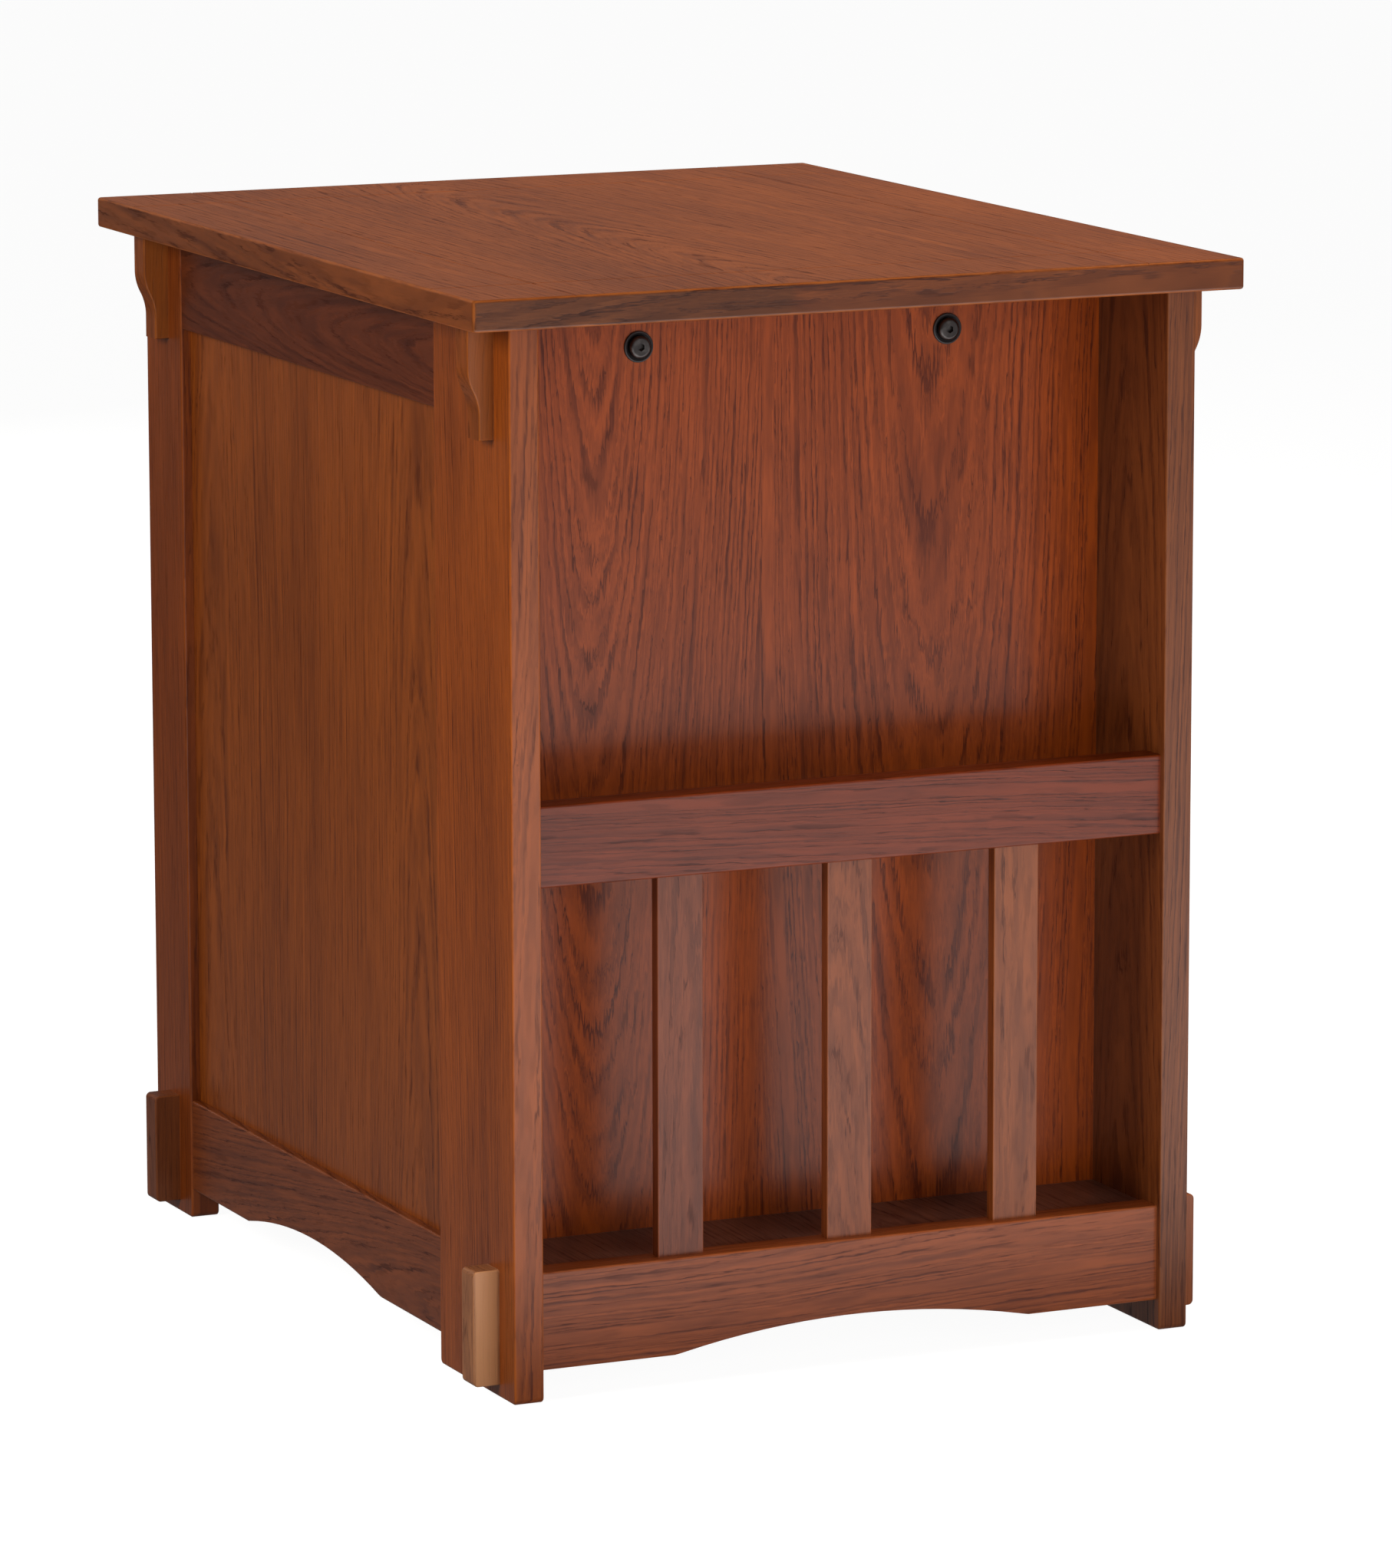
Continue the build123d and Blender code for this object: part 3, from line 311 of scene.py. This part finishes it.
# ---- corbels and foot blocks ---------------------------------------------------------------------------
# Solid oak brackets glued to the outer faces of the legs: the corbels seem to carry the top's overhang and
# the foot blocks widen the legs at the floor.
foot_tones = ("#8d5735", "#74381a", "#643014", "#6e3416")
# How far each corbel's and foot block's face towards the rack end is sanded lighter and given painted light.
corbel_wear_and_light = (0.35, 0.2, 0.3, 0.2)
foot_wear_and_light = (0.85, 0.3, 0.15, 0.2)
for number, leg in enumerate(("left_rack", "right_rack", "left_front", "right_front")):
    stained_oak(leg + "_corbel", "#72350b", "z", "y", heart=9, deep=30, lean=25, ring=2.2, contrast=0.6,
                seed=31.0 + number * 2.7, worn_and_lit_face=corbel_wear_and_light[number])
    stained_oak(leg + "_foot_block", foot_tones[number], "z", "y", heart=7, deep=34, lean=20, ring=2.4,
                contrast=0.5, seed=43.0 + number * 3.3, worn_and_lit_face=foot_wear_and_light[number])

# ---- rack ----------------------------------------------------------------------------------------------
# Two cross rails dowelled between the rack legs, the lower one arched, with three thin slats held in their
# mortises by stub tenons. Books stand behind them.
stained_oak("rack_upper_rail", "#622206", "x", "z", heart=-60, deep=50, lean=30, slope=14, ring=2.2,
            seed=51.3)
stained_oak("rack_lower_rail", "#7e3b19", "x", "z", heart=60, deep=55, lean=26, slope=-10, ring=2.2,
            seed=55.8)
stained_oak("rack_slat_1", "#692f15", "z", "x", heart=16, deep=60, lean=26, slope=30, ring=3.0, contrast=0.5,
            seed=61.1)
stained_oak("rack_slat_2", "#753818", "z", "x", heart=-10, deep=50, lean=40, slope=-20, ring=3.0,
            contrast=0.55, seed=64.7)
stained_oak("rack_slat_3", "#763916", "z", "x", heart=22, deep=80, lean=20, slope=16, ring=2.6,
            contrast=0.45, seed=68.2)

# ---- back panel, bottom board and shelf ----------------------------------------------------------------
# Flat oak boards. The back panel closes the case behind the rack: two wide flat-sawn boards, glued edge to
# edge, whose hearts show as tall nested arches. The bottom board is the floor of both rack and cabinet.
stained_oak("back_panel", "#843606", "z", "x", heart=-122, deep=34, lean=-75, ring=2.9,
            contrast=1.0, seed=72.4, second=(-20, 88, 70, -45), rub_and_highlight=0.0, ragged=3.0,
            sheen=0.14, coat=0.55)
stained_oak("bottom_board", "#664034", "y", "x", heart=30, deep=60, lean=30, ring=3.4, seed=77.7, rub_and_highlight=0.0)
stained_oak("shelf", "#783a16", "x", "y", heart=-30, deep=55, lean=44, ring=3.6, seed=81.2)

# ---- front rails, drawer front and door ----------------------------------------------------------------
# The front stands between the narrow legs: three cross rails, a drawer front, and a door made as a stile and
# rail frame round a flat panel. The drawer and the door each have a small square knob.
stained_oak("front_top_rail", "#783814", "x", "z", heart=30, deep=60, lean=20, ring=3.0, seed=84.0)
stained_oak("front_middle_rail", "#7a3914", "x", "z", heart=-26, deep=50, lean=24, ring=3.0, seed=87.5)
stained_oak("front_lower_rail", "#7a3814", "x", "z", heart=50, deep=52, lean=30, ring=2.8, seed=90.1)
stained_oak("drawer_front", "#7e3c14", "x", "z", heart=12, deep=30, lean=75, ring=3.6, seed=93.6)
stained_oak("door_hinge_stile", "#7b3914", "z", "x", heart=30, deep=70, lean=20, ring=2.6, seed=96.2)
stained_oak("door_free_stile", "#7d3a14", "z", "x", heart=-26, deep=64, lean=24, ring=2.8, seed=99.8)
stained_oak("door_bottom_rail", "#793812", "x", "z", heart=-34, deep=55, lean=30, ring=2.8, seed=103.1)
stained_oak("door_top_rail", "#7a3812", "x", "z", heart=28, deep=60, lean=26, ring=2.8, seed=106.9)
stained_oak("door_panel", "#7e3a13", "z", "x", heart=-36, deep=30, lean=-60, ring=4.2, seed=110.5,
            second=(58, 108, 48, 40), rub_and_highlight=0.0)
for number, knob in enumerate(("drawer_knob", "door_knob")):
    stained_oak(knob, "#70340f", "z", "x", heart=20, deep=30, lean=30, ring=2.2, seed=114.0 + number * 4.1)


# ---- plain wood inside ---------------------------------------------------------------------------------
# The drawer box, the cleats, runners and kickers, the stretcher and the dowels are pale poplar and beech,
# left unstained and given one thin coat of clear lacquer.
EVENNESS = 0.62                        # how far their figure is fainter than that of stained oak


def clear_wood(node, tone, along, across, seed, ring=2.6):
    """Give a hidden board plain pale wood with a faint, even grain."""
    low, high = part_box(node)
    finish, tree, shader = new_finish("Clear lacquered poplar " + node.replace("_", " "))
    coords = add(tree, "TexCoord")
    centred = add(tree, "VectorMath", {0: coords.outputs["Object"], 1: (low + high) / 2},
                  operation="SUBTRACT")
    local = add(tree, "SeparateXYZ", {0: centred.outputs[0]})
    shade, height = oak_grain(tree, local, along, across, heart=30, deep=70, lean=30, slope=0, ring=ring,
                              contrast=0.22, seed=seed)
    pale = add(tree, "Mix", {0: EVENNESS, 6: shade, 7: (1, 1, 1, 1)}, data_type="RGBA").outputs[2]
    colour = add(tree, "Mix", {0: 1.0, 6: linear(tone), 7: pale}, data_type="RGBA", blend_type="MULTIPLY")
    rough = add(tree, "MapRange", {"Value": height, "To Min": 0.48, "To Max": 0.65}).outputs[0]
    bump = add(tree, "Bump", {"Strength": 0.3, "Distance": 0.08 * MM, "Height": height}, invert=True)
    tree.links.new(colour.outputs[2], shader.inputs["Base Color"])
    tree.links.new(rough, shader.inputs["Roughness"])
    tree.links.new(bump.outputs[0], shader.inputs["Normal"])
    nodes[node].data.materials.clear()
    nodes[node].data.materials.append(finish)


clear_wood("drawer_left_side", "#c9a777", "y", "z", 121.3)
clear_wood("drawer_right_side", "#c6a374", "y", "z", 125.1)
clear_wood("drawer_back", "#c8a678", "x", "z", 128.4)
clear_wood("drawer_bottom", "#d2b387", "x", "y", 131.8, ring=3.4)
clear_wood("drawer_stop", "#b98f60", "x", "z", 135.2)
clear_wood("drawer_runners", "#bd9465", "y", "z", 138.9)
clear_wood("drawer_kickers", "#bf9768", "y", "z", 142.3)
clear_wood("back_stretcher", "#bb9062", "x", "z", 146.6)
clear_wood("bottom_cleats", "#b88d5f", "y", "z", 150.7)
clear_wood("dowels", "#c49a6c", "x", "z", 154.1)

# ---- metal and plastic ---------------------------------------------------------------------------------
# Injection-moulded black washers, dull and even, sit round the softly gleaming black-oxide bolts in the
# back. The hinges are aged brass with brown patches. The screws, shelf pins and strike plate are
# zinc-plated steel.
BROAD_MOTTLE = 12                      # how many times wider than the fine mottling the broad one is


def plain_finish(name, tone, metallic, rough_low, rough_high, grain, wear=0.0, wear_tone="#808080"):
    """A moulded or metal finish: fine mottling of its gloss at a real grain size in mm, and light wear."""
    finish, tree, shader = new_finish(name)
    coords = add(tree, "TexCoord")
    fine = figure(tree, coords.outputs["Object"], (grain,) * 3, 3.0)
    broad = figure(tree, coords.outputs["Object"], (grain * BROAD_MOTTLE,) * 3)
    gloss = add(tree, "Math", {0: fine, 1: 0.5, 2: broad}, operation="MULTIPLY_ADD").outputs[0]
    rough = add(tree, "MapRange", {"Value": gloss, "From Min": 0.5, "From Max": 1.0, "To Min": rough_low,
                                   "To Max": rough_high}).outputs[0]
    mark = add(tree, "MapRange", {"Value": broad, "From Min": 0.5, "From Max": 0.75,
                                  "To Max": wear}).outputs[0]
    colour = add(tree, "Mix", {0: mark, 6: linear(tone), 7: linear(wear_tone)}, data_type="RGBA").outputs[2]
    bump = add(tree, "Bump", {"Strength": 0.25, "Distance": 0.03 * MM, "Height": fine})
    tree.links.new(colour, shader.inputs["Base Color"])
    tree.links.new(rough, shader.inputs["Roughness"])
    tree.links.new(bump.outputs[0], shader.inputs["Normal"])
    shader.inputs["Metallic"].default_value = metallic
    return finish


black_plastic = plain_finish("Moulded black nylon", "#232021", 0.0, 0.32, 0.5, 0.5, 0.5, "#302c2d")
black_oxide = plain_finish("Black oxide steel", "#544f4e", 1.0, 0.28, 0.46, 0.4, 0.8, "#76716f")
aged_brass = plain_finish("Aged brass", "#8a6a38", 1.0, 0.28, 0.5, 0.6, 0.8, "#5a4324")
zinc_plate = plain_finish("Bright zinc plate", "#b9bcc0", 1.0, 0.22, 0.4, 0.5, 0.6, "#92959b")
for names, finish in ((("bolt_cups", "magnetic_catch"), black_plastic), (("back_bolts",), black_oxide),
                      (("hinge_case_leaves", "hinge_door_leaves", "hinge_pins"), aged_brass),
                      (("shelf_pins", "top_screws", "strike_plate", "drawer_knob_screw", "door_knob_screw"),
                       zinc_plate)):
    for name in names:
        nodes[name].data.materials.clear()
        nodes[name].data.materials.append(finish)

# ---- floor, light and camera ---------------------------------------------------------------------------
# A plain pale light-table floor. Softboxes face all four sides, one stands low before the rack end, and one
# hangs over the top. Only the brightly lit strip of floor before the rack end shows in the lacquer.
FLOOR_SIZE, FLOOR_BELOW = 60, 0.3      # metres, and millimetres below the feet
LIT_SIZE, LIT_BELOW = 9, 1
LIT_CENTRE = (0.35, -1.0, 0.0)         # the brightest place of the lit floor, in metres
LIT_LEVEL, LIT_CORE, LIT_RIM = 1.5, 0.5, 2.6     # its brightness, and where it starts and stops to fade
LIT_FROM, LIT_TO = -0.6, -0.3          # it fades out between these, before the cabinet
SPILL_LEVEL, SPILL_REST = 0.16, 0.04   # a faint spill of light all round it
SPILL_CORE, SPILL_RIM = 1.0, 3.2

bpy.ops.mesh.primitive_plane_add(size=FLOOR_SIZE, location=(0, 0, -FLOOR_BELOW * MM))
floor = bpy.context.object
floor.name = "pale_floor"
floor_finish, _, floor_shader = new_finish("Back-lit white acrylic")
floor_shader.inputs["Base Color"].default_value = linear("#6a6968")
floor_shader.inputs["Roughness"].default_value = 0.9
floor_shader.inputs["Specular IOR Level"].default_value = 0.1
floor_shader.inputs["Emission Color"].default_value = linear("#ffffff")
floor_shader.inputs["Emission Strength"].default_value = 0.95
floor.data.materials.append(floor_finish)
floor.visible_glossy = False
floor.visible_diffuse = False
floor.visible_shadow = False

bpy.ops.mesh.primitive_plane_add(size=LIT_SIZE, location=(0, 0, -LIT_BELOW * MM))
lit_strip = bpy.context.object
lit_strip.name = "lit_floor_strip"
lit_finish = bpy.data.materials.new("Lit floor strip")
lit_finish.use_nodes = True
lit = lit_finish.node_tree
lit.nodes.clear()
floor_point = add(lit, "TexCoord").outputs["Object"]
from_centre = add(lit, "VectorMath", {0: floor_point, 1: LIT_CENTRE}, operation="DISTANCE").outputs["Value"]
glow = add(lit, "MapRange", {"Value": from_centre, "From Min": LIT_CORE, "From Max": LIT_RIM,
                             "To Min": LIT_LEVEL, "To Max": 0.0},
           interpolation_type="SMOOTHSTEP").outputs[0]
along_y = add(lit, "SeparateXYZ", {0: floor_point}).outputs["Y"]
ahead = add(lit, "MapRange", {"Value": along_y, "From Min": LIT_FROM, "From Max": LIT_TO, "To Min": 1.0,
                              "To Max": 0.0}, interpolation_type="SMOOTHSTEP").outputs[0]
spill = add(lit, "MapRange", {"Value": from_centre, "From Min": SPILL_CORE, "From Max": SPILL_RIM,
                              "To Min": SPILL_LEVEL, "To Max": SPILL_REST}).outputs[0]
bounce = add(lit, "Math", {0: glow, 1: ahead, 2: spill}, operation="MULTIPLY_ADD").outputs[0]
lit_surface = add(lit, "Emission", {"Strength": bounce})
add(lit, "OutputMaterial", {"Surface": lit_surface.outputs[0]})
lit_strip.data.materials.append(lit_finish)
lit_strip.visible_camera = False
lit_strip.visible_shadow = False

ROOM_LIGHT, ROOM_GLOSS, BACKDROP = 0.08, 0.13, 1.0
world = bpy.data.worlds.new("Dim studio")
bpy.context.scene.world = world
world.use_nodes = True
sky = world.node_tree
sky.nodes.clear()
rays = add(sky, "LightPath").outputs
level = add(sky, "Mix", {0: rays["Is Glossy Ray"], 2: ROOM_LIGHT, 3: ROOM_GLOSS}).outputs[0]
level = add(sky, "Mix", {0: rays["Is Camera Ray"], 2: level, 3: BACKDROP}).outputs[0]
room = add(sky, "Background", {"Color": (1.0, 0.99, 0.98, 1.0), "Strength": level})
add(sky, "OutputWorld", {"Surface": room.outputs[0]})

LAMP_COLOUR = (1.0, 0.985, 0.965)


def softbox(name, place, size, power):
    """A square softbox aimed at the middle of the cabinet, in metres and watts."""
    lamp = bpy.data.lights.new(name, "AREA")
    lamp.shape = "SQUARE"
    lamp.size = size
    lamp.energy = power
    lamp.color = LAMP_COLOUR
    holder = bpy.data.objects.new(name, lamp)
    aim = Vector(place) - (cad_box[0] + cad_box[1]) / 2
    holder.location = place
    holder.rotation_euler = aim.to_track_quat("Z", "Y").to_euler()
    holder.visible_glossy = False
    holder.visible_camera = False
    bpy.context.scene.collection.objects.link(holder)


softbox("rack_end_softbox", (0.45, -3.2, 0.7), 2.6, 44)
softbox("left_softbox", (-1.7, -0.4, 1.1), 0.8, 25)
softbox("top_softbox", (1.15, -0.15, 1.8), 0.9, 36)
softbox("floor_softbox", (0.05, -0.98, 0.03), 0.8, 2.9)
softbox("front_softbox", (-0.6, 3.1, 1.1), 2.2, 85)
softbox("right_softbox", (1.9, 0.9, 1.0), 1.0, 18)

CAMERA_PLACE = (-1.8869, -4.1826, 1.1194)
CAMERA_YAW, CAMERA_PITCH, CAMERA_ROLL = 0.4293, 0.18, -0.0018
CAMERA_LENS, CAMERA_SENSOR = 184.1, 36.0
lens = bpy.data.cameras.new("camera")
lens.lens = CAMERA_LENS
lens.sensor_width = CAMERA_SENSOR
camera = bpy.data.objects.new("camera", lens)
camera.matrix_world = (Matrix.Translation(CAMERA_PLACE) @ Matrix.Rotation(-CAMERA_YAW, 4, "Z")
                       @ Matrix.Rotation(math.pi / 2 - CAMERA_PITCH, 4, "X")
                       @ Matrix.Rotation(CAMERA_ROLL, 4, "Z"))
bpy.context.scene.collection.objects.link(camera)
bpy.context.scene.camera = camera
bpy.context.scene.view_settings.view_transform = "Standard"
